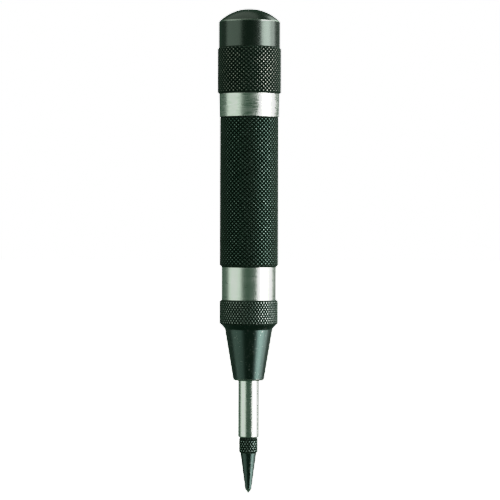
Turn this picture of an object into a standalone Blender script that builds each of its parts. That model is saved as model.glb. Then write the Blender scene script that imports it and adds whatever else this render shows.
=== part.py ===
"""Automatic center punch: a spring-driven marking tool, tip down, +Z from the tip to the cap.

Pressing the barrel down pushes the spindle up into the nose. The spindle's drive pin bears on
the trip block, so the hammer rises with it against the main spring. The barrel's tapered bore
slides the trip block in until its hole lines up with the pin: the hammer is let go and strikes
the spindle's flange. The cap screws along the barrel's neck to set the main spring's preload.

Metres, origin at the working tip.
"""
import math

import bmesh
import bpy
from mathutils import Matrix

# Driving dimensions
TOTAL_LENGTH = 0.13335  # 5 1/4 in
SLIDE_GAP = 0.0001  # radial play of sliding and screwed pieces
LOOSE_GAP = 0.00015  # radial play of a flange that its piece isn't guided by
SEAT_GAP = 0.0003  # space left between faces that bear on each other
EDGE_CHAMFER = 0.0005  # on the inner pieces' ends
TRIP_OFFSET = 0.0008  # how far the trip block slides before its hole meets the drive pin

# Point
TIP_RADIUS = 0.00088
TIP_HEIGHT = 0.0011
POINT_TAPER_TOP_RADIUS = 0.00224
POINT_KNURL_BOTTOM = 0.0111
POINT_KNURL_RADIUS = 0.00262
POINT_TOP = 0.01535
POINT_CHAMFER = 0.0003
POINT_SHANK_RADIUS = 0.00155
POINT_SHANK_TOP = 0.0230

# Spindle and its drive pin
SPINDLE_RADIUS = 0.00286
SPINDLE_CHAMFER = 0.0003
FLANGE_RADIUS = 0.00425
FLANGE_THICKNESS = 0.0025
POINT_SOCKET_DEPTH = 0.0085
PIN_SHANK_RADIUS = 0.0010
PIN_SHANK_LENGTH = 0.0078
PIN_RADIUS = 0.0015
PIN_CHAMFER = 0.0002

# Nose
NOSE_END = 0.0312
NOSE_END_FLAT_RADIUS = 0.00365
NOSE_END_ROUND = 0.0006
NOSE_CONE_TOP = 0.0454
NOSE_CONE_TOP_RADIUS = 0.00658
COLLAR_RADIUS = 0.00806
COLLAR_BOTTOM = 0.04675
COLLAR_TOP = 0.0534
COLLAR_TOP_CHAMFER = 0.0004
SPIGOT_RADIUS = 0.0062
SPIGOT_TOP = 0.0610
FLANGE_CHAMBER_RADIUS = 0.0045
FLANGE_CHAMBER_FLOOR = 0.0440

# Barrel
LOWER_BAND_RADIUS = 0.00747
GRIP_BOTTOM = 0.0624
GRIP_RADIUS = 0.00808
GRIP_CHAMFER = 0.0005
GRIP_TOP = 0.1038
UPPER_BAND_BOTTOM_RADIUS = 0.00818
UPPER_BAND_TOP_RADIUS = 0.00832
UPPER_BAND_TOP = 0.1101
NECK_RADIUS = 0.0070
NECK_TOP = 0.1255
BORE_RADIUS = 0.0055  # guides the hammer
CAM_TOP = 0.0810  # the bore widens downwards from here
CAM_BOTTOM = 0.0690
WIDE_BORE_RADIUS = BORE_RADIUS + TRIP_OFFSET

# Hammer and trip block
HAMMER_RADIUS = BORE_RADIUS - SLIDE_GAP
HAMMER_TOP = 0.0900
HAMMER_FOOT_RADIUS = FLANGE_CHAMBER_RADIUS - LOOSE_GAP
HAMMER_FOOT_BOTTOM = 0.0575
HAMMER_RECESS_RADIUS = 0.0030
HAMMER_RECESS_TOP = 0.0615
HAMMER_GUIDE_RADIUS = PIN_RADIUS + SLIDE_GAP
HAMMER_GUIDE_TOP = 0.0840
HAMMER_PILOT_RADIUS = 0.0034
HAMMER_PILOT_HEIGHT = 0.0035
CROSS_HOLE_RADIUS = 0.0024
CROSS_HOLE_END = -0.0043
TRIP_HEIGHT = CAM_BOTTOM
BLOCK_RADIUS = CROSS_HOLE_RADIUS - SLIDE_GAP
BLOCK_INNER_END = -0.0019
BLOCK_OUTER_END = WIDE_BORE_RADIUS - SEAT_GAP
BLOCK_DOME_RADIUS = 0.0040
PIN_TOP = TRIP_HEIGHT - BLOCK_RADIUS - SEAT_GAP

# Springs
MAIN_COIL_RADIUS = 0.00445
MAIN_WIRE_RADIUS = 0.00075
MAIN_TURNS = 10
RETURN_COIL_RADIUS = 0.0022
RETURN_WIRE_RADIUS = 0.00025
RETURN_TURNS = 6
TRIP_COIL_RADIUS = 0.0013
TRIP_WIRE_RADIUS = 0.00015
TRIP_TURNS = 3
TRIP_CLOSED_TURNS = 0.5
CLOSED_RISE = 2.2  # wire radii that a closed end turn climbs, so that it clears the next

# Spring seat and cap
SEAT_BOTTOM = 0.1220
SEAT_FLANGE_RADIUS = BORE_RADIUS - LOOSE_GAP
SEAT_FLANGE_THICKNESS = 0.0020
SEAT_PILOT_RADIUS = 0.0034
SEAT_PILOT_HEIGHT = 0.0035
SEAT_BOSS_RADIUS = 0.0025
CAP_CEILING = 0.1274
CAP_BORE_RADIUS = NECK_RADIUS + SLIDE_GAP
CAP_KNURL_RADIUS = 0.00875
CAP_KNURL_TOP = 0.1229
CAP_KNURL_CHAMFER = 0.00034
CAP_LIP_CHAMFER = 0.00025
CAP_RADIUS = CAP_KNURL_RADIUS - CAP_KNURL_CHAMFER
CAP_SHOULDER = 0.1300
CAP_FLAT_RADIUS = 0.0022  # the palm flat on top of the dome

# Fineness
OUTSIDE_SEGMENTS = 48
INSIDE_SEGMENTS = 36
PIN_SEGMENTS = 24
DOME_STEPS = 5
CORNER_STEPS = 4
POINTS_PER_TURN = 16


def clear_scene():
    for obj in list(bpy.data.objects):
        bpy.data.objects.remove(obj, do_unlink=True)


def new_collection(name):
    collection = bpy.data.collections.new(name)
    bpy.context.scene.collection.children.link(collection)
    return collection


def metal(name, colour, roughness):
    material = bpy.data.materials.new(name)
    material.use_nodes = True
    shader = material.node_tree.nodes["Principled BSDF"]
    shader.inputs["Base Color"].default_value = (*colour, 1.0)
    shader.inputs["Metallic"].default_value = 1.0
    shader.inputs["Roughness"].default_value = roughness
    return material


def joint_empty(name, height, parent=None):
    """An empty on the tool's axis that a moving group hangs on."""
    empty = bpy.data.objects.new(name, None)
    empty.empty_display_size = 0.005
    PUNCH.objects.link(empty)
    empty.location.z = height
    if parent is not None:
        empty.parent = parent
        empty.location.z = height - parent.location.z
    return empty


def finish(obj, material, height, parent):
    """Gives the piece its material and hangs it on its joint; its local zero is at that height."""
    obj.data.materials.append(material)
    obj.parent = parent
    obj.location.z = height
    if parent is not None:
        obj.location.z = height - parent.matrix_world.translation.z
    return obj


def turned(name, profile, material, height, parent=None, segments=OUTSIDE_SEGMENTS, group=None):
    """A lathe-turned piece. The profile holds (radius, height above the tip) down the outside;
    a hollow piece's profile goes on up its inside and closes on itself."""
    mesh = bpy.data.meshes.new(name)
    points = [(radius, 0.0, level - height) for radius, level in profile]
    count = len(points)
    hollow = profile[0][0] > 0.0
    edges = [(i, (i + 1) % count) for i in range(count if hollow else count - 1)]
    mesh.from_pydata(points, edges, [])
    obj = bpy.data.objects.new(name, mesh)
    (group or PUNCH).objects.link(obj)
    screw = obj.modifiers.new("turn", "SCREW")
    screw.steps = segments
    screw.render_steps = segments
    screw.use_merge_vertices = True
    screw.merge_threshold = 0.00001
    screw.use_smooth_shade = False
    return finish(obj, material, height, parent)


def arc(centre, radius, start, stop, steps):
    """Points (radius, height) on an arc, with its angles in degrees from the outward direction."""
    angles = [math.radians(start + (stop - start) * i / steps) for i in range(steps + 1)]
    return [(centre[0] + radius * math.cos(a), centre[1] + radius * math.sin(a)) for a in angles]


def cross_cylinder(name, radius, start, end, material, group):
    """A cylinder along X at the trip block's height, between two stations on X."""
    mesh = bpy.data.meshes.new(name)
    shape = bmesh.new()
    bmesh.ops.create_cone(
        shape, cap_ends=True, segments=PIN_SEGMENTS, radius1=radius, radius2=radius,
        depth=end - start, matrix=Matrix.Rotation(math.radians(90), 4, "Y"),
    )
    bmesh.ops.translate(shape, verts=shape.verts, vec=((start + end) / 2, 0, 0))
    shape.to_mesh(mesh)
    shape.free()
    obj = bpy.data.objects.new(name, mesh)
    group.objects.link(obj)
    return finish(obj, material, TRIP_HEIGHT, None)


def cutter(obj):
    obj.hide_render = True
    obj.display_type = "WIRE"
    return obj


def cut(obj, tool):
    boolean = obj.modifiers.new("cut_" + tool.name, "BOOLEAN")
    boolean.operation = "DIFFERENCE"
    boolean.object = tool


def coil(name, radius, wire, turns, length, material, closed_turns=1.0):
    """A compression spring along local +Z from 0, with its end turns closed up on each other."""
    count = int(turns * POINTS_PER_TURN)
    closed_rise = CLOSED_RISE * wire * closed_turns
    live_turns = turns - 2 * closed_turns
    live_rise = length - 2 * wire - 2 * closed_rise
    curve = bpy.data.curves.new(name, "CURVE")
    curve.dimensions = "3D"
    curve.bevel_depth = wire
    curve.bevel_resolution = 2
    curve.use_fill_caps = True
    spline = curve.splines.new("POLY")
    spline.points.add(count)
    for i, point in enumerate(spline.points):
        turn = turns * i / count
        first = min(turn, closed_turns) * closed_rise / closed_turns
        middle = min(max(turn - closed_turns, 0.0), live_turns) * live_rise / live_turns
        last = max(turn - closed_turns - live_turns, 0.0) * closed_rise / closed_turns
        angle = 2 * math.pi * turn
        point.co = (
            radius * math.cos(angle), radius * math.sin(angle), wire + first + middle + last, 1,
        )
    obj = bpy.data.objects.new(name, curve)
    PUNCH.objects.link(obj)
    curve.materials.append(material)
    return obj


def make_point(parent, material):
    """Knurled point with a ground tip and a screwed shank."""
    shoulder = POINT_KNURL_RADIUS - POINT_CHAMFER
    profile = [
        (0.0, POINT_SHANK_TOP),
        (POINT_SHANK_RADIUS - POINT_CHAMFER, POINT_SHANK_TOP),
        (POINT_SHANK_RADIUS, POINT_SHANK_TOP - POINT_CHAMFER),
        (POINT_SHANK_RADIUS, POINT_TOP),
        (shoulder, POINT_TOP),
        (POINT_KNURL_RADIUS, POINT_TOP - POINT_CHAMFER),
        (POINT_KNURL_RADIUS, POINT_KNURL_BOTTOM + POINT_CHAMFER),
        (POINT_TAPER_TOP_RADIUS, POINT_KNURL_BOTTOM),
        (TIP_RADIUS, TIP_HEIGHT),
        (0.0, 0.0),
    ]
    turned("point", profile, material, 0.0, parent, INSIDE_SEGMENTS)


def make_spindle(parent, material):
    """Ground rod with a retaining flange that is also the anvil, tapped below for the point."""
    bottom = POINT_TOP + SEAT_GAP
    flange_bottom = FLANGE_CHAMBER_FLOOR + SEAT_GAP
    flange_top = flange_bottom + FLANGE_THICKNESS
    socket = POINT_SHANK_RADIUS + SLIDE_GAP
    pin_hole = PIN_SHANK_RADIUS + SLIDE_GAP
    pin_hole_bottom = flange_top - PIN_SHANK_LENGTH
    outside = [
        (pin_hole, flange_top),
        (FLANGE_RADIUS - SPINDLE_CHAMFER, flange_top),
        (FLANGE_RADIUS, flange_top - SPINDLE_CHAMFER),
        (FLANGE_RADIUS, flange_bottom),
        (SPINDLE_RADIUS, flange_bottom),
        (SPINDLE_RADIUS, bottom + SPINDLE_CHAMFER),
        (SPINDLE_RADIUS - SPINDLE_CHAMFER, bottom),
        (socket, bottom),
        (socket, bottom + POINT_SOCKET_DEPTH),
        (0.0, bottom + POINT_SOCKET_DEPTH),
    ]
    pin_hole_wall = [(0.0, pin_hole_bottom), (pin_hole, pin_hole_bottom)]
    turned("spindle", pin_hole_wall + outside, material, flange_bottom, parent, INSIDE_SEGMENTS)
    return flange_top


def make_drive_pin(parent, material, flange_top):
    """Hardened stepped pin in the spindle's end, which lifts the hammer by its trip block."""
    shoulder = flange_top + SEAT_GAP
    profile = [
        (0.0, PIN_TOP),
        (PIN_RADIUS - PIN_CHAMFER, PIN_TOP),
        (PIN_RADIUS, PIN_TOP - PIN_CHAMFER),
        (PIN_RADIUS, shoulder),
        (PIN_SHANK_RADIUS, shoulder),
        (PIN_SHANK_RADIUS, shoulder - PIN_SHANK_LENGTH + SEAT_GAP),
        (0.0, shoulder - PIN_SHANK_LENGTH + SEAT_GAP),
    ]
    turned("drive_pin", profile, material, shoulder, parent, PIN_SEGMENTS)


def make_nose(material):
    """Cone with a knurled collar, screwed into the barrel, which guides and keeps the spindle."""
    guide = SPINDLE_RADIUS + SLIDE_GAP
    spread = NOSE_CONE_TOP_RADIUS - NOSE_END_FLAT_RADIUS - NOSE_END_ROUND
    slope = math.degrees(math.atan2(spread, NOSE_CONE_TOP - NOSE_END))
    corner = (NOSE_END_FLAT_RADIUS, NOSE_END + NOSE_END_ROUND)
    profile = [
        (FLANGE_CHAMBER_RADIUS, SPIGOT_TOP),
        (SPIGOT_RADIUS, SPIGOT_TOP),
        (SPIGOT_RADIUS, COLLAR_TOP),
        (COLLAR_RADIUS - COLLAR_TOP_CHAMFER, COLLAR_TOP),
        (COLLAR_RADIUS, COLLAR_TOP - COLLAR_TOP_CHAMFER),
        (COLLAR_RADIUS, COLLAR_BOTTOM),
        (NOSE_CONE_TOP_RADIUS, NOSE_CONE_TOP),
        *arc(corner, NOSE_END_ROUND, -slope, -90, CORNER_STEPS),
        (guide, NOSE_END),
        (guide, FLANGE_CHAMBER_FLOOR),
        (FLANGE_CHAMBER_RADIUS, FLANGE_CHAMBER_FLOOR),
    ]
    turned("nose", profile, material, NOSE_END)


def make_barrel(material):
    """Knurled grip between two ground bands, with a screwed neck and a bore that widens below."""
    bottom = COLLAR_TOP + SEAT_GAP
    profile = [
        (BORE_RADIUS, NECK_TOP),
        (NECK_RADIUS - EDGE_CHAMFER, NECK_TOP),
        (NECK_RADIUS, NECK_TOP - EDGE_CHAMFER),
        (NECK_RADIUS, UPPER_BAND_TOP),
        (UPPER_BAND_TOP_RADIUS, UPPER_BAND_TOP),
        (UPPER_BAND_BOTTOM_RADIUS, GRIP_TOP),
        (GRIP_RADIUS, GRIP_TOP),
        (GRIP_RADIUS, GRIP_BOTTOM + GRIP_CHAMFER),
        (LOWER_BAND_RADIUS, GRIP_BOTTOM),
        (LOWER_BAND_RADIUS, bottom),
        (WIDE_BORE_RADIUS, bottom),
        (WIDE_BORE_RADIUS, CAM_BOTTOM),
        (BORE_RADIUS, CAM_TOP),
    ]
    turned("barrel", profile, material, bottom)


def make_hammer(parent, material, cutters):
    """Sliding weight, cross-drilled for the trip block, bored below for the drive pin."""
    shoulder = SPIGOT_TOP + SEAT_GAP
    profile = [
        (0.0, HAMMER_TOP + HAMMER_PILOT_HEIGHT),
        (HAMMER_PILOT_RADIUS - EDGE_CHAMFER, HAMMER_TOP + HAMMER_PILOT_HEIGHT),
        (HAMMER_PILOT_RADIUS, HAMMER_TOP + HAMMER_PILOT_HEIGHT - EDGE_CHAMFER),
        (HAMMER_PILOT_RADIUS, HAMMER_TOP),
        (HAMMER_RADIUS, HAMMER_TOP),
        (HAMMER_RADIUS, shoulder),
        (HAMMER_FOOT_RADIUS, shoulder),
        (HAMMER_FOOT_RADIUS, HAMMER_FOOT_BOTTOM),
        (HAMMER_RECESS_RADIUS, HAMMER_FOOT_BOTTOM),
        (HAMMER_RECESS_RADIUS, HAMMER_RECESS_TOP),
        (HAMMER_GUIDE_RADIUS, HAMMER_RECESS_TOP),
        (HAMMER_GUIDE_RADIUS, HAMMER_GUIDE_TOP),
        (0.0, HAMMER_GUIDE_TOP),
    ]
    hammer = turned("hammer", profile, material, shoulder, parent, INSIDE_SEGMENTS)
    drill = cross_cylinder(
        "cross_hole", CROSS_HOLE_RADIUS, CROSS_HOLE_END, HAMMER_RADIUS + BLOCK_RADIUS, material,
        cutters,
    )
    cut(hammer, cutter(drill))


def make_trip_block(parent, material, cutters):
    """Round cross slide with a hole for the drive pin, held off-centre by its spring."""
    tip = TRIP_HEIGHT + BLOCK_OUTER_END - BLOCK_INNER_END
    edge = math.degrees(math.acos(BLOCK_RADIUS / BLOCK_DOME_RADIUS))
    dome = arc((0.0, tip - BLOCK_DOME_RADIUS), BLOCK_DOME_RADIUS, 90, edge, CORNER_STEPS)
    profile = [(0.0, tip), *dome[1:], (BLOCK_RADIUS, TRIP_HEIGHT), (0.0, TRIP_HEIGHT)]
    block = turned("trip_block", profile, material, TRIP_HEIGHT, parent, PIN_SEGMENTS)
    block.location.x = BLOCK_INNER_END
    block.rotation_euler.y = math.radians(90)
    reach = 2 * BLOCK_RADIUS
    drill_profile = [
        (0.0, TRIP_HEIGHT + reach),
        (HAMMER_GUIDE_RADIUS, TRIP_HEIGHT + reach),
        (HAMMER_GUIDE_RADIUS, TRIP_HEIGHT - reach),
        (0.0, TRIP_HEIGHT - reach),
    ]
    drill = turned(
        "pin_hole", drill_profile, material, TRIP_HEIGHT, None, PIN_SEGMENTS, cutters,
    )
    drill.location.x = TRIP_OFFSET
    cut(block, cutter(drill))


def make_springs(wire_steel, bodies, flange_top):
    """Main spring over the hammer, return spring over the drive pin, trip spring behind the block."""
    main_bottom = HAMMER_TOP + SEAT_GAP
    main = coil(
        "main_spring", MAIN_COIL_RADIUS, MAIN_WIRE_RADIUS, MAIN_TURNS,
        SEAT_BOTTOM - SEAT_GAP - main_bottom, wire_steel,
    )
    main.location.z = main_bottom

    return_bottom = flange_top + SEAT_GAP
    back = coil(
        "return_spring", RETURN_COIL_RADIUS, RETURN_WIRE_RADIUS, RETURN_TURNS,
        HAMMER_RECESS_TOP - SEAT_GAP - return_bottom, wire_steel,
    )
    back.parent = bodies["spindle"]
    back.location.z = return_bottom - bodies["spindle"].matrix_world.translation.z

    trip_start = CROSS_HOLE_END + SEAT_GAP
    trip = coil(
        "trip_spring", TRIP_COIL_RADIUS, TRIP_WIRE_RADIUS, TRIP_TURNS,
        BLOCK_INNER_END - SEAT_GAP - trip_start, wire_steel, TRIP_CLOSED_TURNS,
    )
    trip.parent = bodies["hammer"]
    trip.location.z = TRIP_HEIGHT - bodies["hammer"].matrix_world.translation.z
    trip.location.x = trip_start
    trip.rotation_euler.y = math.radians(90)


def make_spring_seat(parent, material):
    """Thrust button between the main spring and the cap, so that the cap turns freely on it."""
    top = SEAT_BOTTOM + SEAT_FLANGE_THICKNESS
    boss_top = CAP_CEILING - SEAT_GAP
    profile = [
        (0.0, boss_top),
        (SEAT_BOSS_RADIUS - EDGE_CHAMFER, boss_top),
        (SEAT_BOSS_RADIUS, boss_top - EDGE_CHAMFER),
        (SEAT_BOSS_RADIUS, top),
        (SEAT_FLANGE_RADIUS, top),
        (SEAT_FLANGE_RADIUS, SEAT_BOTTOM),
        (SEAT_PILOT_RADIUS, SEAT_BOTTOM),
        (SEAT_PILOT_RADIUS, SEAT_BOTTOM - SEAT_PILOT_HEIGHT + EDGE_CHAMFER),
        (SEAT_PILOT_RADIUS - EDGE_CHAMFER, SEAT_BOTTOM - SEAT_PILOT_HEIGHT),
        (0.0, SEAT_BOTTOM - SEAT_PILOT_HEIGHT),
    ]
    turned("spring_seat", profile, material, SEAT_BOTTOM, parent, INSIDE_SEGMENTS)


def make_cap(parent, material):
    """Domed adjusting cap, knurled below, screwed over the barrel's neck."""
    bottom = UPPER_BAND_TOP + SEAT_GAP
    rise = TOTAL_LENGTH - CAP_SHOULDER
    drop = (CAP_RADIUS**2 - CAP_FLAT_RADIUS**2 - rise**2) / (2 * rise)
    dome_radius = math.hypot(CAP_RADIUS, drop)
    dome_centre = CAP_SHOULDER - drop
    start = math.degrees(math.atan2(TOTAL_LENGTH - dome_centre, CAP_FLAT_RADIUS))
    stop = math.degrees(math.atan2(drop, CAP_RADIUS))
    profile = [
        (0.0, TOTAL_LENGTH),
        *arc((0.0, dome_centre), dome_radius, start, stop, DOME_STEPS),
        (CAP_RADIUS, CAP_KNURL_TOP),
        (CAP_KNURL_RADIUS, CAP_KNURL_TOP - CAP_KNURL_CHAMFER),
        (CAP_KNURL_RADIUS, bottom + CAP_LIP_CHAMFER),
        (CAP_KNURL_RADIUS - CAP_LIP_CHAMFER, bottom),
        (CAP_BORE_RADIUS, bottom),
        (CAP_BORE_RADIUS, CAP_CEILING),
        (0.0, CAP_CEILING),
    ]
    turned("cap", profile, material, bottom, parent)


clear_scene()
PUNCH = new_collection("center_punch")
CUTTERS = new_collection("cutters")
BLACK = metal("black_oxide_steel", (0.020, 0.030, 0.025), 0.35)
BRIGHT = metal("ground_steel", (0.60, 0.62, 0.60), 0.22)
HARDENED = metal("hardened_steel", (0.36, 0.37, 0.37), 0.30)
WIRE = metal("spring_wire", (0.22, 0.22, 0.23), 0.32)

spindle_body = joint_empty("spindle_slide", FLANGE_CHAMBER_FLOOR + SEAT_GAP)
hammer_body = joint_empty("hammer_slide", SPIGOT_TOP + SEAT_GAP)
trip_body = joint_empty("trip_block_slide", TRIP_HEIGHT, hammer_body)
seat_body = joint_empty("cap_travel", SEAT_BOTTOM)
cap_body = joint_empty("cap_turn", UPPER_BAND_TOP + SEAT_GAP, seat_body)
bpy.context.view_layer.update()

make_point(spindle_body, BLACK)
spindle_top = make_spindle(spindle_body, BRIGHT)
make_drive_pin(spindle_body, HARDENED, spindle_top)
make_nose(BLACK)
make_barrel(BLACK)
make_hammer(hammer_body, HARDENED, CUTTERS)
make_trip_block(trip_body, HARDENED, CUTTERS)
make_springs(WIRE, {"spindle": spindle_body, "hammer": hammer_body}, spindle_top)
make_spring_seat(seat_body, HARDENED)
make_cap(cap_body, BLACK)
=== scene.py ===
import bmesh
import bpy
import numpy as np
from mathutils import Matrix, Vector


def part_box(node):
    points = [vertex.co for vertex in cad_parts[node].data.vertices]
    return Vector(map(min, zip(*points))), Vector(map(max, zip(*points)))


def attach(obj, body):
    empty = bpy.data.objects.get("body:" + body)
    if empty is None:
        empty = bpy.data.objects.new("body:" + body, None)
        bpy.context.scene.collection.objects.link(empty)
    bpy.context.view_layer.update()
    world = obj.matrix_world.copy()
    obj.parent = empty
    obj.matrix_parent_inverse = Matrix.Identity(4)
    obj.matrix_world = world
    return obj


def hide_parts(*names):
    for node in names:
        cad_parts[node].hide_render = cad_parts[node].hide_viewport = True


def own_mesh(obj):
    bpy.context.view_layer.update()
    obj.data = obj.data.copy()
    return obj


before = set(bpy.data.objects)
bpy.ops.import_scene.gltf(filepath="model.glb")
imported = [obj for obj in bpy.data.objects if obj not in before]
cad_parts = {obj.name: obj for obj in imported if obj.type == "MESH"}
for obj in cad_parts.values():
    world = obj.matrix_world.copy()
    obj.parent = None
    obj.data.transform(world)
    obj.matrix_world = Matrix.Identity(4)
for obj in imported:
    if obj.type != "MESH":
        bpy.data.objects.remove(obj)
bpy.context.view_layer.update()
mm = 0.001
fullTurn = 2 * np.pi
samePlace = 1e-7  # metres: points nearer than this are one
wellPast = 1  # mm, for a painted zone's limit that lies anywhere past an end
print("frame loaded:", ", ".join(sorted(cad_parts)))


def hexColour(code):
    # sRGB to linear: ((c + 0.055) / 1.055) ^ 2.4 for all but the darkest values
    srgb = np.array([int(code[i:i + 2], 16) / 255 for i in (1, 3, 5)])
    linear = np.where(srgb <= 0.04045, srgb / 12.92, ((srgb + 0.055) / 1.055) ** 2.4)
    return (*linear.tolist(), 1.0)


def addNode(tree, kind, settings=None, links=None):
    # a setting or link whose key is a socket's name or number goes to that input
    node = tree.nodes.new(kind)
    for key, value in (settings or {}).items():
        if isinstance(key, int) or key in node.inputs:
            node.inputs[key].default_value = value
        else:
            setattr(node, key, value)
    for key, source in (links or {}).items():
        tree.links.new(source, node.inputs[key])
    return node


def newMaterial(name):
    material = bpy.data.materials.new(name)
    material.use_nodes = True
    tree = material.node_tree
    tree.nodes.clear()
    return material, tree


blackOxideLook = {
    "dark": "#030504", "light": "#090e0b",  # greenish black, cloudy over a few millimetres
    "steel": "#a9aba6",  # bare metal where the black has rubbed off
    "roughness": 0.26, "roughnessSpread": 0.10,
    "ior": 1.87, "sheen": "#f0fff3",  # magnetite under a film of oil, mirroring a little green
    "cloudSize": 4.0,  # mm
    "toolMark": 0.25,  # mm between turning marks; the real 0.05 mm wouldn't show
    "toolMarkDepth": 0.0012,  # mm
    "marksAround": 60,  # per metre, so that each mark runs well round the piece
    "speckSize": 0.35,  # mm
    "specks": 0.12,  # share of the surface near a worn speck
    "bareFrom": 0.80, "bareFull": 0.95,  # wear and grit added up, where steel starts and fills
}


def blackOxideOnSteel(name, look):
    # Turned steel blackened in a hot oxide bath and oiled: a dark, slightly green skin that
    # mirrors softly, with bright specks and edges where it is rubbed through.
    material, tree = newMaterial(name)
    place = addNode(tree, "ShaderNodeTexCoord").outputs["Object"]
    cloud = addNode(tree, "ShaderNodeTexNoise", {
        "Scale": 1 / (look["cloudSize"] * mm), "Detail": 3.0, "Roughness": 0.6,
    }, {"Vector": place})
    black = addNode(tree, "ShaderNodeMix", {
        "data_type": "RGBA", 6: hexColour(look["dark"]), 7: hexColour(look["light"]),
    }, {0: cloud.outputs["Fac"]})

    rubbed = addNode(tree, "ShaderNodeAttribute", {"attribute_name": "wear"})
    grit = addNode(tree, "ShaderNodeTexNoise", {
        "Scale": 1 / (look["speckSize"] * mm), "Detail": 4.0, "Roughness": 0.7,
    }, {"Vector": place})
    reach = addNode(tree, "ShaderNodeMath", {
        "operation": "MULTIPLY_ADD", 1: look["edgeWear"], 2: look["specks"],
    }, {0: rubbed.outputs["Fac"]})
    total = addNode(tree, "ShaderNodeMath", {"operation": "ADD"}, {
        0: reach.outputs[0], 1: grit.outputs["Fac"],
    })
    bare = addNode(tree, "ShaderNodeMapRange", {
        "interpolation_type": "SMOOTHSTEP",
        "From Min": look["bareFrom"], "From Max": look["bareFull"],
    }, {"Value": total.outputs[0]})
    colour = addNode(tree, "ShaderNodeMix", {
        "data_type": "RGBA", 7: hexColour(look["steel"]),
    }, {0: bare.outputs["Result"], 6: black.outputs[2]})

    rough = addNode(tree, "ShaderNodeMapRange", {
        "To Min": look["roughness"], "To Max": look["roughness"] + look["roughnessSpread"],
    }, {"Value": cloud.outputs["Fac"]})
    stretched = addNode(tree, "ShaderNodeMapping", {
        "Scale": (look["marksAround"], look["marksAround"], 1 / (look["toolMark"] * mm)),
    }, {"Vector": place})
    marks = addNode(tree, "ShaderNodeTexNoise", {"Scale": 1.0, "Detail": 1.0}, {
        "Vector": stretched.outputs["Vector"],
    })
    bump = addNode(tree, "ShaderNodeBump", {
        "Strength": 1.0, "Distance": look["toolMarkDepth"] * mm,
    }, {"Height": marks.outputs["Fac"]})
    shader = addNode(tree, "ShaderNodeBsdfPrincipled", {
        "IOR": look["ior"], "Specular Tint": hexColour(look["sheen"]),
    }, {
        "Base Color": colour.outputs[2],
        "Metallic": bare.outputs["Result"],
        "Roughness": rough.outputs["Result"],
        "Normal": bump.outputs["Normal"],
    })
    addNode(tree, "ShaderNodeOutputMaterial", links={"Surface": shader.outputs["BSDF"]})
    return material


brightSteelLook = {
    "pale": "#e0dedb", "dull": "#cfccc9",  # ground steel, with a greyer bloom in patches
    "roughness": 0.26, "roughnessSpread": 0.12,
    "bloomSize": 5.0,  # mm
    "grindMark": 0.20,  # mm between grinding lines; the real 0.02 mm wouldn't show
    "grindDepth": 0.0010,  # mm
    "linesAround": 50,  # per metre
    "scratchDepth": 0.0,  # mm
    "scratchSize": 0.6,  # mm across the run of the scratches
    "scratchSlant": 0.6,  # radians
    "scratchLength": 6.0,  # mm
}


def groundSteel(name, look):
    # Steel ground bright on a cylindrical grinder: fine lines round the axis blur what it
    # mirrors along the axis, and handling leaves slanting scratches.
    material, tree = newMaterial(name)
    place = addNode(tree, "ShaderNodeTexCoord").outputs["Object"]
    bloom = addNode(tree, "ShaderNodeTexNoise", {
        "Scale": 1 / (look["bloomSize"] * mm), "Detail": 4.0, "Roughness": 0.65,
    }, {"Vector": place})
    around = addNode(tree, "ShaderNodeMapping", {
        "Scale": (look["linesAround"], look["linesAround"], 1 / (look["grindMark"] * mm)),
    }, {"Vector": place})
    lines = addNode(tree, "ShaderNodeTexNoise", {"Scale": 1.0, "Detail": 2.0}, {
        "Vector": around.outputs["Vector"],
    })
    along = 1 / (look["scratchLength"] * mm)
    slanting = addNode(tree, "ShaderNodeMapping", {
        "Rotation": (0.0, look["scratchSlant"], 0.0),
        "Scale": (along, along, 1 / (look["scratchSize"] * mm)),
    }, {"Vector": place})
    scratches = addNode(tree, "ShaderNodeTexNoise", {
        "Scale": 1.0, "Detail": 5.0, "Roughness": 0.7,
    }, {"Vector": slanting.outputs["Vector"]})
    colour = addNode(tree, "ShaderNodeMix", {
        "data_type": "RGBA", 6: hexColour(look["dull"]), 7: hexColour(look["pale"]),
    }, {0: bloom.outputs["Fac"]})
    rough = addNode(tree, "ShaderNodeMapRange", {
        "From Min": 0.3, "From Max": 0.7,  # where nearly all of the noise lies
        "To Min": look["roughness"], "To Max": look["roughness"] + look["roughnessSpread"],
    }, {"Value": scratches.outputs["Fac"]})
    ground = addNode(tree, "ShaderNodeBump", {
        "Strength": 1.0, "Distance": look["grindDepth"] * mm,
    }, {"Height": lines.outputs["Fac"]})
    scratched = addNode(tree, "ShaderNodeBump", {
        "Strength": 1.0, "Distance": look["scratchDepth"] * mm,
    }, {"Height": scratches.outputs["Fac"], "Normal": ground.outputs["Normal"]})
    shader = addNode(tree, "ShaderNodeBsdfPrincipled", {"Metallic": 1.0}, {
        "Base Color": colour.outputs[2],
        "Roughness": rough.outputs["Result"],
        "Normal": scratched.outputs["Normal"],
    })
    addNode(tree, "ShaderNodeOutputMaterial", links={"Surface": shader.outputs["BSDF"]})
    return material


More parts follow.
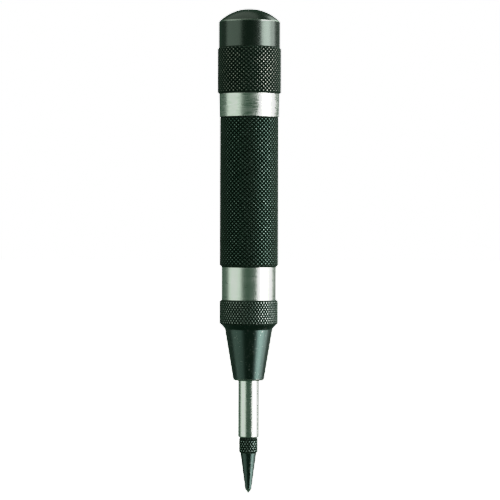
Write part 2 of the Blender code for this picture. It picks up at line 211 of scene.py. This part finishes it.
smoothBlack = blackOxideOnSteel("blackOxideTurned", {
    **blackOxideLook, "edgeWear": 0.75, "roughness": 0.22, "ior": 1.80,
})
tealBlack = blackOxideOnSteel("blackOxideTeal", {
    **blackOxideLook, "edgeWear": 0.70, "sheen": "#d6fff4",
    "specks": 0.205, "speckSize": 0.5, "ior": 1.72,
})
crestLook = {  # the tops of a knurl's diamonds, rubbed by hands
    **blackOxideLook, "edgeWear": 0.45, "specks": 0.05, "toolMarkDepth": 0.0, "roughness": 0.28,
}
knurledBlack = blackOxideOnSteel("blackOxideKnurled", {**crestLook, "steel": "#b0ada4"})
collarKnurledBlack = blackOxideOnSteel("blackOxideKnurledCollar", {
    **crestLook, "steel": "#b4bab4", "sheen": "#dcfff0", "edgeWear": 0.55,
})
pointKnurledBlack = blackOxideOnSteel("blackOxideKnurledPoint", {
    **crestLook, "steel": "#a3b5ad", "sheen": "#c4ffe8", "edgeWear": 0.60,
})
tealKnurledBlack = blackOxideOnSteel("blackOxideKnurledTeal", {
    **crestLook, "steel": "#98aca3", "sheen": "#c4ffe8", "edgeWear": 0.36,
})
# the grooves' dark teal, lighter and greener than the black elsewhere, is painted shade: the colour
# that shade down in the grooves takes, laid over real oily grime that dulls them
grooveGrimeAndPaintedShade = blackOxideOnSteel("oiledKnurlGrooveWithPaintedShade", {
    **blackOxideLook, "dark": "#0d1d14", "light": "#15291d", "edgeWear": 0.0, "specks": 0.0,
    "toolMarkDepth": 0.0, "roughness": 0.45, "ior": 1.40,  # oily grime dulls it
})
lowerBandSteel = groundSteel("groundSteelLowerBand", {**brightSteelLook, "scratchDepth": 0.002})
upperBandSteel = groundSteel("groundSteelUpperBand", {
    **brightSteelLook, "roughness": 0.18, "roughnessSpread": 0.30,  # scuffed in streaks
    "scratchDepth": 0.022, "scratchSize": 0.35, "scratchSlant": 0.25, "scratchLength": 3.0,
})
brightRod = groundSteel("groundSteelRod", {
    **brightSteelLook, "roughness": 0.24, "roughnessSpread": 0.08, "grindDepth": 0.0006,
})
hardSteel = groundSteel("hardenedSteel", {**brightSteelLook, "pale": "#a3a5a6", "dull": "#8e9092"})
springWire = groundSteel("temperedSpringWire", {
    **brightSteelLook, "pale": "#7d7f83", "dull": "#5f6266",
})
print("materials made")


def softCorners(points, steps=4):
    # Points are (radius, height, rounding) in mm. A corner becomes a quadratic curve from
    # `rounding` before it to `rounding` after it: (1-t)^2 start + 2t(1-t) corner + t^2 end.
    # The wear value follows 4t(1-t), so it is 1 in the middle of a rounded corner, but stays 0
    # in an inside corner, where the outline turns right on its way up the outside.
    given = np.array(points, float) * mm
    corner, rounding = given[:, :2], given[:, 2:]
    toward = np.diff(corner, axis=0)
    toward /= np.linalg.norm(toward, axis=1, keepdims=True)
    still = np.zeros((1, 2))
    start = corner - np.vstack((still, toward)) * rounding
    end = corner + np.vstack((toward, still)) * rounding
    t = np.linspace(0, 1, steps + 1)[None, :, None]
    curve = (
        (1 - t) ** 2 * start[:, None] + 2 * t * (1 - t) * corner[:, None] + t**2 * end[:, None]
    )
    turn = toward[:-1, 0] * toward[1:, 1] - toward[:-1, 1] * toward[1:, 0]
    rubbed = (rounding[:, 0] > 0) & np.r_[False, turn > 0, False]
    wear = np.where(rubbed[:, None], 4 * t[:, :, 0] * (1 - t[:, :, 0]), 0.0)
    flat = curve.reshape(-1, 2)
    new = np.r_[True, np.linalg.norm(np.diff(flat, axis=0), axis=1) > samePlace]
    return flat[new, 0], flat[new, 1], wear.ravel()[new]


def plainRows(points, columns):
    # the same radius all round, for each point of the outline
    radius, height, wear = softCorners(points)
    allRound = np.ones((1, columns))
    return {
        "radius": radius[:, None] * allRound, "height": height[:, None] * allRound,
        "wear": wear[:, None] * allRound, "fold": np.zeros((len(radius), columns), int),
    }


def fromGroove(count):
    return np.abs(count - np.rint(count))  # 0 in a groove, 0.5 midway between two


def rimRadius(k):
    return k["radius"] - 1.1 * k["depth"]  # just under its grooves, where a knurl's ends start


def knurlRows(k):
    # Two families of helical V grooves cross. With s the way round in diamonds and h the way up
    # in diamonds, s + h counts the grooves of one family and s - h those of the other. With n the
    # nearer groove's distance in counts, at most a half, the surface sinks by
    # depth * (1 - 2n)^rounding, so each diamond is a steep little hill with a nearly flat top.
    # Each square of the grid folds along the nearer groove. Wear grows towards the middle of a
    # diamond, as (2n)^2, with a little more at the two ends.
    steps = k["steps"]
    columns = k["starts"] * steps
    rows = round((k["top"] - k["bottom"]) / k["pitch"] * steps)
    s = (np.arange(columns) / steps)[None, :]
    h = (np.arange(rows + 1) / steps)[:, None]
    height = np.linspace(k["bottom"], k["top"], rows + 1)[:, None]
    nearest = np.minimum(fromGroove(s + h), fromGroove(s - h))
    radius = k["radius"] - k["depth"] * (1 - 2 * nearest) ** k["rounding"]
    chamfer = np.minimum(height - k["bottom"] + k["bottomRim"], k["top"] - height + k["topRim"])
    radius = np.minimum(radius, rimRadius(k) + chamfer)
    middle = 0.5 / steps
    alongFirst = fromGroove(s + h + 2 * middle) < fromGroove(s - h)
    fromEnd = np.minimum(height - k["bottom"], k["top"] - height)
    rubbed = k["rimWear"] * np.clip(1 - fromEnd / k["rimWearWidth"], 0, 1) * 2 * nearest
    return {
        "radius": radius * mm, "height": height * mm * np.ones((1, columns)),
        "wear": (2 * nearest) ** 2 + rubbed, "fold": np.where(alongFirst, 2, 1),
    }


def knurlZones(k, groove, crest):
    # which of a piece's materials its knurl's grooves and the tops of its diamonds take
    margin, crestDepth = 0.05, 0.03
    low, high = k["bottom"] - margin, k["top"] + margin
    return [
        (low, high, k["radius"] - 2 * k["depth"], groove),
        (low, high, k["radius"] - crestDepth, crest),
    ]


def threadRows(t, columns):
    # A right-hand thread: height / pitch - turns round is a whole number along its crest, and
    # the radius falls away to the root halfway between two crests, with a narrow flat on both.
    rows = round((t["top"] - t["bottom"]) / t["pitch"] * t["rowsPerPitch"])
    height = np.linspace(t["bottom"], t["top"], rows + 1)[:, None]
    turns = (np.arange(columns) / columns)[None, :]
    away = 2 * fromGroove(height / t["pitch"] - turns)
    radius = t["radius"] - t["depth"] * np.clip((away - t["flat"]) / (1 - 2 * t["flat"]), 0, 1)
    return {
        "radius": radius * mm, "height": height * mm * np.ones((1, columns)),
        "wear": np.clip(1 - t["wearFades"] * away, 0, 1), "fold": np.zeros((rows + 1, columns), int),
    }


def makeMesh(name, places, faces, wear):
    mesh = bpy.data.meshes.new(name)
    mesh.from_pydata(places.tolist(), [], faces)
    layer = mesh.attributes.new("wear", "FLOAT", "POINT")
    layer.data.foreach_set("value", wear.ravel().astype(np.float32))
    work = bmesh.new()
    work.from_mesh(mesh)
    bmesh.ops.remove_doubles(work, verts=work.verts, dist=samePlace)  # closes the poles
    bmesh.ops.recalc_face_normals(work, faces=work.faces)
    work.to_mesh(mesh)
    work.free()
    mesh.shade_smooth()
    mesh.set_sharp_from_angle(angle=np.radians(42))
    piece = bpy.data.objects.new(name, mesh)
    bpy.context.scene.collection.objects.link(piece)
    return piece


def gridCorners(rows, columns, squareRows):
    # the four points round each square of a grid that closes on itself sideways
    i = np.arange(squareRows)[:, None]
    j = np.arange(columns)[None, :]
    above, right = (i + 1) % rows, (j + 1) % columns
    corners = (i * columns + j, i * columns + right, above * columns + right, above * columns + j)
    return [np.broadcast_to(index, (squareRows, columns)) for index in corners]


def settle(piece, body, node):
    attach(piece, body)
    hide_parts(node)
    print(piece.name, len(piece.data.polygons), "faces")


def paintZones(mesh, zones):
    # Each zone is (lowest, highest, least radius, material number), in mm. Where zones overlap,
    # the last one stays, and faces in none keep the first material.
    centres = np.empty(len(mesh.polygons) * 3)
    mesh.polygons.foreach_get("center", centres)
    height, out = centres[2::3] / mm, np.hypot(centres[0::3], centres[1::3]) / mm
    number = np.zeros(len(height), int)
    for low, high, least, index in zones:
        number[(height > low) & (height < high) & (out > least)] = index
    mesh.polygons.foreach_set("material_index", number)


def turnedPiece(name, stretches, body, node, materials, zones=()):
    # Rows of points round the axis, one above the other, are skinned with squares, or with two
    # triangles each where a knurl folds them. A hollow piece's outline closes on itself.
    radius, height, wear, fold = (
        np.vstack([part[key] for part in stretches]) for key in ("radius", "height", "wear", "fold")
    )
    rows, columns = radius.shape
    angle = fullTurn * np.arange(columns) / columns
    places = np.stack((radius * np.cos(angle), radius * np.sin(angle), height), axis=-1)
    hollow = radius[0, 0] > 0
    squareRows = rows if hollow else rows - 1
    a, b, c, d = gridCorners(rows, columns, squareRows)
    seam = np.zeros(rows, bool)  # the squares between two stretches don't fold
    seam[np.cumsum([len(part["fold"]) for part in stretches]) - 1] = True
    fold = np.where(seam[:, None], 0, fold)[:squareRows]
    flat, risingFold, fallingFold = fold == 0, fold == 1, fold == 2
    quads = np.stack((a, b, c, d), axis=-1)[flat]
    rising = np.concatenate([np.stack(t, axis=-1)[risingFold] for t in ((a, b, c), (a, c, d))])
    falling = np.concatenate([np.stack(t, axis=-1)[fallingFold] for t in ((a, b, d), (b, c, d))])
    faces = quads.tolist() + rising.tolist() + falling.tolist()
    piece = makeMesh(name, places.reshape(-1, 3), faces, wear)
    for material in materials:
        piece.data.materials.append(material)
    if zones:
        paintZones(piece.data, zones)
    settle(piece, body, node)


def coilPiece(name, c, body, node, material):
    # The wire's centre line goes round at one radius while it climbs, slowly in the closed end
    # turns and evenly between them, and a circle is carried along it.
    along = np.linspace(0, c["turns"], round(c["turns"] * c["perTurn"]) + 1)
    wire, dead = c["wire"], c["closed"]
    deadRise = c["closedRise"] * wire * dead
    liveRise = c["length"] - 2 * wire - 2 * deadRise
    turns = (0, dead, c["turns"] - dead, c["turns"])
    climb = wire + np.interp(along, turns, np.cumsum((0, deadRise, liveRise, deadRise)))
    angle = fullTurn * along
    outward = np.stack((np.cos(angle), np.sin(angle), 0 * angle), axis=-1)
    onward = np.stack((-np.sin(angle), np.cos(angle), 0 * angle), axis=-1)
    onward[:, 2] = np.gradient(climb, angle) / c["radius"]
    onward /= np.linalg.norm(onward, axis=1, keepdims=True)
    upward = np.cross(outward, onward)
    ringAngle = fullTurn * np.arange(c["sides"]) / c["sides"]
    centre = outward * c["radius"] + np.stack((0 * climb, 0 * climb, climb), axis=-1)
    cosine, sine = np.cos(ringAngle)[None, :, None], np.sin(ringAngle)[None, :, None]
    ring = (cosine * outward[:, None] + sine * upward[:, None]) * wire
    # each end closes on its centre point, as one more ring of no size
    point = 0 * ring[:1]
    rings = np.concatenate((
        centre[:1, None] + point, centre[:, None] + ring, centre[-1:, None] + point,
    ))
    places = (rings * mm) @ np.array(c["turnedTo"], float) + np.array(c["at"]) * mm
    rows, columns = places.shape[:2]
    faces = np.stack(gridCorners(rows, columns, rows - 1), axis=-1).reshape(-1, 4).tolist()
    piece = makeMesh(name, places.reshape(-1, 3), faces, np.zeros((rows, columns)))
    piece.data.materials.append(material)
    settle(piece, body, node)
    return piece


def level(node, end):
    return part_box(node)[end].z / mm  # a CAD node's lowest (0) or highest (1) point, in mm


def width(node):
    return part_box(node)[1].x / mm  # and its outer radius


# mm of rounding at a corner, where a piece's own settings don't say
sharp, crisp, eased, soft = 0, 0.05, 0.1, 0.2

pointShape = {  # screwed into the spindle
    "tipFlat": 0.10, "tipRise": 0.03, "tipRound": 0.02, "groundTop": 1.10, "groundRadius": 0.88,
    "taperRadius": 2.22, "taperRound": 0.03, "knurlBottom": 11.1, "knurlTop": 15.35, "margin": 0.1,
    "knurl": {
        "starts": 21, "steps": 6, "pitch": 1.31, "depth": 0.34, "rounding": 2.7,
        "rimWear": 0.4, "rimWearWidth": 0.4, "bottomRim": 0.1, "topRim": 0.1,
    },
    "shankRadius": 1.55, "shankChamfer": 0.3,
}


def makePoint(p):
    knurl = {
        **p["knurl"], "radius": width("point"),
        "bottom": p["knurlBottom"] + p["margin"], "top": p["knurlTop"] - p["margin"],
    }
    columns = knurl["starts"] * knurl["steps"]
    rim, shank, top = rimRadius(knurl), p["shankRadius"], level("point", 1)
    below = plainRows([
        (0, 0, sharp), (p["tipFlat"], p["tipRise"], p["tipRound"]),
        (p["groundRadius"], p["groundTop"], crisp),
        (p["taperRadius"], p["knurlBottom"], p["taperRound"]), (rim, p["knurlBottom"], sharp),
    ], columns)
    above = plainRows([
        (rim, p["knurlTop"], sharp), (shank, p["knurlTop"], sharp),
        (shank, top - p["shankChamfer"], sharp), (shank - p["shankChamfer"], top, sharp),
        (0, top, sharp),
    ], columns)
    groundTip = (-wellPast, p["groundTop"], -wellPast, 1)
    turnedPiece(
        "punchPoint", [below, knurlRows(knurl), above], "spindle", "point",
        [tealBlack, brightRod, grooveGrimeAndPaintedShade, pointKnurledBlack],
        [groundTip, *knurlZones(knurl, 2, 3)],
    )


makePoint(pointShape)

spindleShape = {
    "rod": 2.86, "chamfer": 0.35, "rodRound": 0.08, "flange": 2.5,
    "lowered": 0.25,  # mm of the CAD's gap above the point that the rod closes
    "socketRadius": 1.65, "socketDepth": 8.5, "pinHole": 1.1, "pinHoleDepth": 7.8, "columns": 120,
}


def makeSpindle(p):
    low, high = level("spindle", 0), level("spindle", 1)
    end, ceiling = low - p["lowered"], low + p["socketDepth"]
    flangeBottom, holeBottom = high - p["flange"], high - p["pinHoleDepth"]
    turnedPiece("spindleRod", [plainRows([
        (0, ceiling, sharp), (p["socketRadius"], ceiling, sharp), (p["socketRadius"], end, sharp),
        (p["rod"] - p["chamfer"], end, crisp), (p["rod"], end + p["chamfer"], p["rodRound"]),
        (p["rod"], flangeBottom, sharp), (width("spindle"), flangeBottom, eased),
        (width("spindle"), high, soft), (p["pinHole"], high, sharp),
        (p["pinHole"], holeBottom, sharp), (0, holeBottom, sharp),
    ], p["columns"])], "spindle", "spindle", [brightRod])


makeSpindle(spindleShape)

drivePinShape = {"shank": 1.0, "aboveSpindle": 0.3, "columns": 60}


def makeDrivePin(p):
    low, high = level("drive_pin", 0), level("drive_pin", 1)
    shoulder = level("spindle", 1) + p["aboveSpindle"]
    turnedPiece("drivePin", [plainRows([
        (0, low, sharp), (p["shank"], low, eased), (p["shank"], shoulder, sharp),
        (width("drive_pin"), shoulder, crisp), (width("drive_pin"), high, soft), (0, high, sharp),
    ], p["columns"])], "spindle", "drive_pin", [hardSteel])


makeDrivePin(drivePinShape)

noseShape = {
    "endRadius": 4.21, "endRound": 0.6,
    "coneTopRadius": 6.58, "coneTop": 45.45, "coneTopRound": 0.25,
    "knurl": {
        "starts": 58, "steps": 6, "pitch": 1.21, "depth": 0.28, "rounding": 4.2,
        "rimWear": 1.2, "rimWearWidth": 0.5, "bottomRim": 0.06, "topRim": 0.05,
    },
    "collarBottom": 46.75, "collarTop": 53.4, "knurlShort": 0.15,
    "topChamfer": 0.1, "topRound": 0.04,
    "spigotRadius": 6.2, "bore": 2.96, "chamber": 4.5, "chamberFloor": 44.0,
}


def makeNose(p):
    end, top, collarTop = level("nose", 0), level("nose", 1), p["collarTop"]
    knurl = {
        **p["knurl"], "radius": width("nose"),
        "bottom": p["collarBottom"], "top": collarTop - p["knurlShort"],
    }
    columns = knurl["starts"] * knurl["steps"]
    rim = rimRadius(knurl)
    below = plainRows([
        (p["bore"], end, eased), (p["endRadius"], end, p["endRound"]),
        (p["coneTopRadius"], p["coneTop"], p["coneTopRound"]), (rim, p["collarBottom"], sharp),
    ], columns)
    above = plainRows([
        (rim, collarTop - p["topChamfer"], sharp), (rim - p["topChamfer"], collarTop, p["topRound"]),
        (p["spigotRadius"], collarTop, sharp), (p["spigotRadius"], top, soft),
        (p["chamber"], top, eased), (p["chamber"], p["chamberFloor"], sharp),
        (p["bore"], p["chamberFloor"], eased),
    ], columns)
    turnedPiece(
        "noseCone", [below, knurlRows(knurl), above], "barrel", "nose",
        [tealBlack, grooveGrimeAndPaintedShade, collarKnurledBlack], knurlZones(knurl, 1, 2),
    )


makeNose(noseShape)

barrelShape = {
    "lowerBand": 7.47, "upperBandBottom": 8.17, "upperBandTop": 8.32, "bandTop": 110.15,
    "bandRound": 0.12, "aboveNose": 0.03,
    "gripRadius": 8.08, "gripBottom": 62.35, "gripTop": 103.8,
    "margin": 0.1, "rimStep": 0.2, "bandStep": 0.02,  # where the knurl meets the two bands
    "knurl": {
        "starts": 42, "steps": 6, "pitch": 1.10, "depth": 0.38, "rounding": 3.1,
        "rimWear": 0.4, "rimWearWidth": 0.4, "bottomRim": -0.2, "topRim": 0.15,
    },
    "neck": 7.0, "neckChamfer": 0.7, "relief": 6.4, "reliefHeight": 0.6,
    "thread": {"pitch": 1.27, "depth": 0.62, "rowsPerPitch": 8, "flat": 0.12, "wearFades": 1.6},
    "threadAboveBand": 0.9, "threadBelowTop": 0.6,
    "bore": 5.5, "wideBore": 6.3, "camTop": 81.0, "camBottom": 69.0,
    "lowerPaintFrom": 6.4, "upperPaintFrom": 6.6,  # only faces further out are ground bright
    "paintShift": 0.01,  # keeps the grip's top edge black and the upper band's own edge bright
}


def makeBarrel(p):
    top, bandTop, gripBottom = level("barrel", 1), p["bandTop"], p["gripBottom"]
    seat = noseShape["collarTop"] + p["aboveNose"]
    knurl = {
        **p["knurl"], "radius": p["gripRadius"],
        "bottom": gripBottom + p["margin"], "top": p["gripTop"],
    }
    columns = knurl["starts"] * knurl["steps"]
    lowBand = plainRows([
        (p["wideBore"], seat, crisp), (p["lowerBand"], seat, p["bandRound"]),
        (p["lowerBand"], gripBottom - p["margin"], sharp),
        (rimRadius(knurl) - p["rimStep"], gripBottom + p["margin"], sharp),
    ], columns)
    highBand = plainRows([
        (p["upperBandBottom"], p["gripTop"] + p["bandStep"], crisp),
        (p["upperBandTop"], bandTop, p["bandRound"]),
        (p["relief"], bandTop, sharp), (p["relief"], bandTop + p["reliefHeight"], eased),
    ], columns)
    thread = {
        **p["thread"], "radius": p["neck"],
        "bottom": bandTop + p["threadAboveBand"], "top": top - p["threadBelowTop"],
    }
    inside = plainRows([
        (p["neck"] - p["neckChamfer"], top, eased), (p["bore"], top, soft),
        (p["bore"], p["camTop"], sharp), (p["wideBore"], p["camBottom"], sharp),
    ], columns)
    bands = [
        (seat - wellPast, gripBottom, p["lowerPaintFrom"], 1),
        (p["gripTop"] + p["paintShift"], bandTop + p["paintShift"], p["upperPaintFrom"], 2),
    ]
    turnedPiece(
        "barrelBody", [lowBand, knurlRows(knurl), highBand, threadRows(thread, columns), inside],
        "barrel", "barrel",
        [smoothBlack, lowerBandSteel, upperBandSteel, grooveGrimeAndPaintedShade, tealKnurledBlack],
        [*bands, *knurlZones(knurl, 3, 4)],
    )


makeBarrel(barrelShape)

capShape = {
    "bottom": 110.2, "chamfer": 0.1, "knurlTop": 122.9, "stepBottom": 0.02, "stepTop": 0.05,
    "smoothRadius": 8.41, "shoulder": 130.0, "shoulderRound": 0.24, "flat": 2.2, "domeSteps": 24,
    "knurl": {
        "starts": 45, "steps": 6, "pitch": 1.104, "depth": 0.38, "rounding": 3.1,
        "rimWear": 0.4, "rimWearWidth": 0.4, "bottomRim": 0.1, "topRim": 0.02,
    },
    "bore": 7.1, "ceiling": 127.4, "ceilingRound": 0.3,
    "wornSide": 235,  # degrees round: the shoulder is rubbed most where the cap knocks on the bench
    "wornLeast": 0.55,
}


def domeOutline(p, top):
    # part of a circle through the shoulder and the rim of the flat on top
    rise = top - p["shoulder"]
    drop = (p["smoothRadius"] ** 2 - p["flat"] ** 2 - rise**2) / (2 * rise)
    size = np.hypot(p["smoothRadius"], drop)
    shoulderAngle, flatAngle = np.arctan2(drop, p["smoothRadius"]), np.arccos(p["flat"] / size)
    angle = np.linspace(shoulderAngle, flatAngle, p["domeSteps"])
    return size * np.cos(angle), p["shoulder"] - drop + size * np.sin(angle)


def makeCap(p):
    top, bottom, knurlTop = level("cap", 1), p["bottom"], p["knurlTop"]
    knurl = {**p["knurl"], "radius": width("cap"), "bottom": bottom + p["chamfer"], "top": knurlTop}
    columns = knurl["starts"] * knurl["steps"]
    rim = rimRadius(knurl)
    domeRadius, domeHeight = domeOutline(p, top)
    dome = [(r, z, sharp) for r, z in zip(domeRadius[1:], domeHeight[1:])]
    ceiling = plainRows([
        (0, p["ceiling"], sharp), (p["bore"], p["ceiling"], p["ceilingRound"]),
    ], columns)
    below = plainRows([
        (p["bore"], bottom, eased), (rim - p["chamfer"], bottom, crisp),
        (rim, bottom + p["chamfer"], sharp),
    ], columns)
    above = plainRows([
        (rim, knurlTop + p["stepBottom"], sharp), (p["smoothRadius"], knurlTop + p["stepTop"], sharp),
        (p["smoothRadius"], p["shoulder"], p["shoulderRound"]), *dome, (0, top, sharp),
    ], columns)
    # wear goes round from its least to 1 as (1 + cos) / 2 of the angle from the worn side
    away = fullTurn * np.arange(columns) / columns - np.radians(p["wornSide"])
    above["wear"] *= p["wornLeast"] + (1 - p["wornLeast"]) * (1 + np.cos(away)) / 2
    turnedPiece(
        "adjustingCap", [ceiling, below, knurlRows(knurl), above], "cap", "cap",
        [smoothBlack, grooveGrimeAndPaintedShade, knurledBlack], knurlZones(knurl, 1, 2),
    )


makeCap(capShape)

springSeatShape = {
    "pilot": 3.4, "pilotHeight": 3.5, "pilotRound": 0.5, "flangeThickness": 2, "flangeRound": 0.15,
    "boss": 2.5, "bossRound": 0.4, "columns": 96,
}


def makeSpringSeat(p):
    low, top, flange = level("spring_seat", 0), level("spring_seat", 1), width("spring_seat")
    under = low + p["pilotHeight"]
    over = under + p["flangeThickness"]
    turnedPiece("thrustButton", [plainRows([
        (0, low, sharp), (p["pilot"], low, p["pilotRound"]), (p["pilot"], under, sharp),
        (flange, under, p["flangeRound"]), (flange, over, p["flangeRound"]),
        (p["boss"], over, sharp), (p["boss"], top, p["bossRound"]), (0, top, sharp),
    ], p["columns"])], "spring_seat", "spring_seat", [hardSteel])


makeSpringSeat(springSeatShape)

upright = ((1, 0, 0), (0, 1, 0), (0, 0, 1))
lyingAlongX = ((0, 0, -1), (0, 1, 0), (1, 0, 0))
coilShape = {"closed": 1.0, "closedRise": 2.2}  # end turns, and how many wire radii they climb
mainSpringShape = {
    **coilShape, "turns": 10, "perTurn": 40, "sides": 14, "radius": 4.45, "wire": 0.75,
}
returnSpringShape = {
    **coilShape, "turns": 6, "perTurn": 32, "sides": 10, "radius": 2.2, "wire": 0.25,
}
tripSpringShape = {
    **coilShape, "turns": 3, "perTurn": 24, "sides": 10, "radius": 1.3, "wire": 0.15, "closed": 0.5,
}


def makeMainSpring(c):
    low, high = level("main_spring", 0), level("main_spring", 1)
    mainSpring = coilPiece(
        "mainSpring", {**c, "length": high - low, "at": (0, 0, low), "turnedTo": upright},
        "barrel", "main_spring", springWire,
    )
    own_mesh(mainSpring)


def makeReturnSpring(c):
    low, high = level("return_spring", 0), level("return_spring", 1)
    coilPiece(
        "returnSpring", {**c, "length": high - low, "at": (0, 0, low), "turnedTo": upright},
        "spindle", "return_spring", springWire,
    )


def makeTripSpring(c):
    near, far = (corner.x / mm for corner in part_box("trip_spring"))
    middle = (level("trip_spring", 0) + level("trip_spring", 1)) / 2
    tripSpring = coilPiece(
        "tripSpring",
        {**c, "length": far - near, "at": (near, 0, middle), "turnedTo": lyingAlongX},
        "hammer", "trip_spring", springWire,
    )
    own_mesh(tripSpring)


makeMainSpring(mainSpringShape)
makeReturnSpring(returnSpringShape)
makeTripSpring(tripSpringShape)

for hidden in ("hammer", "trip_block"):  # these two keep their CAD shape, inside the barrel
    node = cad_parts[hidden]
    node.data.materials.clear()
    node.data.materials.append(hardSteel)
print("inside pieces made")

studio = {
    "cameraAt": (0.0, -0.580, 0.0766), "aim": (0.0003, 0.0, 0.06718), "lens": 151.3, "roll": 0.163,
    "sensor": 36, "clip": (0.01, 50),
    "floorSize": 6.0, "floorColour": "#f4f4f2", "floorBelowTip": 0.00005,
    "panelGlow": 2.4, "floorBoost": 1.15,
    "surround": "#3b5946", "surroundStrength": 1.0, "backdrop": "#ffffff",
    # linear light in and out: film-like, true up to 0.6 and then easing into white
    "shoulder": ((0.0, 0.0), (0.6, 0.6), (1.0, 0.76), (1.6, 0.83), (2.2, 0.90), (2.4, 1.0)),
}

# Each softbox stands round the tool's axis: azimuth in degrees from the camera's side towards
# the right, its half width in degrees, distance and height in metres, and radiance.
softboxes = {
    "keyRight": {
        "azimuth": 65, "spread": 19, "away": 0.70, "height": 1.0, "radiance": 6.8,
        "colour": "#fafffd",
    },
    "fillRight": {
        "azimuth": 97, "spread": 13, "away": 0.75, "height": 0.8, "radiance": 3.4,
        "colour": "#fbfffd",
    },
    "rimRight": {
        "azimuth": 138, "spread": 22, "away": 0.80, "height": 0.8, "radiance": 0.15,
        "colour": "#f8fffa",
    },
    "fillLeft": {
        "azimuth": -64, "spread": 32, "away": 0.70, "height": 1.0, "radiance": 1.0,
        "colour": "#edfff1",
    },
    "rimLeft": {
        "azimuth": -122, "spread": 20, "away": 0.80, "height": 1.0, "radiance": 0.05,
        "colour": "#eefff4",
    },
}
softboxCentre = 0.07  # metres up, about half the tool's height

# Two more hang higher: one overhead, a little to the left, and one behind on the right, for the
# dome's far side.
topLights = {
    "overhead": {"at": (-0.40, 0.15, 1.0), "size": 1.5, "radiance": 0.42, "colour": "#f4fff2"},
    "highRight": {"at": (0.55, 0.60, 0.60), "size": 0.60, "radiance": 1.8, "colour": "#f4fff8"},
}


def makeCamera(s):
    data = bpy.data.cameras.new("camera")
    data.lens, data.sensor_width = s["lens"], s["sensor"]
    data.clip_start, data.clip_end = s["clip"]
    camera = bpy.data.objects.new("camera", data)
    bpy.context.scene.collection.objects.link(camera)
    look = (Vector(s["aim"]) - Vector(s["cameraAt"])).to_track_quat("-Z", "Y").to_matrix().to_4x4()
    camera.matrix_world = look
    camera.location = s["cameraAt"]
    camera.rotation_euler.rotate_axis("Z", np.radians(s["roll"]))
    bpy.context.scene.camera = camera


def makeFloor(s):
    half = s["floorSize"] / 2
    corners = [(-half, -half, 0), (half, -half, 0), (half, half, 0), (-half, half, 0)]
    mesh = bpy.data.meshes.new("floor")
    mesh.from_pydata(corners, [], [(0, 1, 2, 3)])
    material, tree = newMaterial("opalAcrylicLightPanel")  # lit from below, so it holds no shadow
    colour = hexColour(s["floorColour"])
    shader = addNode(tree, "ShaderNodeBsdfPrincipled", {
        "Base Color": colour, "Roughness": 0.5,
        "Emission Color": colour, "Emission Strength": s["panelGlow"] * s["floorBoost"],
    })
    addNode(tree, "ShaderNodeOutputMaterial", links={"Surface": shader.outputs["BSDF"]})
    mesh.materials.append(material)
    floor = bpy.data.objects.new("floor", mesh)
    bpy.context.scene.collection.objects.link(floor)
    floor.location.z = -s["floorBelowTip"]
    floor.visible_glossy = False  # so that the steel mirrors only the dim studio and softboxes
    floor.visible_diffuse = False


def areaLight(name, settings, shape, size, area, at, facing):
    data = bpy.data.lights.new(name, "AREA")
    data.shape = shape
    data.size, data.size_y = size
    data.energy = settings["radiance"] * np.pi * area
    data.color = hexColour(settings["colour"])[:3]
    light = bpy.data.objects.new(name, data)
    bpy.context.scene.collection.objects.link(light)
    light.location = at
    light.rotation_euler = facing.to_track_quat("Z", "Y").to_euler()
    light.visible_camera = False


def makeSoftbox(name, b):
    across = 2 * b["away"] * np.tan(np.radians(b["spread"]))
    azimuth = np.radians(b["azimuth"])
    side = Vector((np.sin(azimuth), -np.cos(azimuth), 0))
    at = side * b["away"] + Vector((0, 0, softboxCentre))
    areaLight(name, b, "RECTANGLE", (across, b["height"]), across * b["height"], at, side)


def makeTopLight(name, t):
    size = t["size"]
    areaLight(name, t, "DISK", (size, size), np.pi * size**2 / 4, t["at"], Vector(t["at"]))


def setFilmCurve(s):
    view = bpy.context.scene.view_settings
    view.view_transform = "Standard"
    view.use_curve_mapping = True
    mapping = view.curve_mapping
    whitest = s["shoulder"][-1][0]
    mapping.white_level = (whitest, whitest, whitest)
    curve = mapping.curves[3]  # the one for all three colours together
    curve.points[0].location = (0.0, 0.0)
    curve.points[1].location = (1.0, 1.0)
    for light, shown in s["shoulder"][1:-1]:
        curve.points.new(light / whitest, shown)
    for point in curve.points:
        point.handle_type = "VECTOR"
    mapping.update()


def makeSurround(s):
    # the camera sees a white backdrop, and the steel mirrors a dim green room
    world = bpy.data.worlds.new("studio")
    bpy.context.scene.world = world
    world.use_nodes = True
    tree = world.node_tree
    tree.nodes.clear()
    seen = addNode(tree, "ShaderNodeLightPath").outputs["Is Camera Ray"]
    dim = addNode(tree, "ShaderNodeBackground", {
        "Color": hexColour(s["surround"]), "Strength": s["surroundStrength"],
    })
    white = addNode(tree, "ShaderNodeBackground", {
        "Color": hexColour(s["backdrop"]), "Strength": s["panelGlow"],
    })
    either = addNode(tree, "ShaderNodeMixShader", links={
        0: seen, 1: dim.outputs["Background"], 2: white.outputs["Background"],
    })
    addNode(tree, "ShaderNodeOutputWorld", links={"Surface": either.outputs["Shader"]})


makeCamera(studio)
makeFloor(studio)
for boxName, box in softboxes.items():
    makeSoftbox(boxName, box)
for lightName, topLight in topLights.items():
    makeTopLight(lightName, topLight)
makeSurround(studio)
setFilmCurve(studio)
print("studio made")
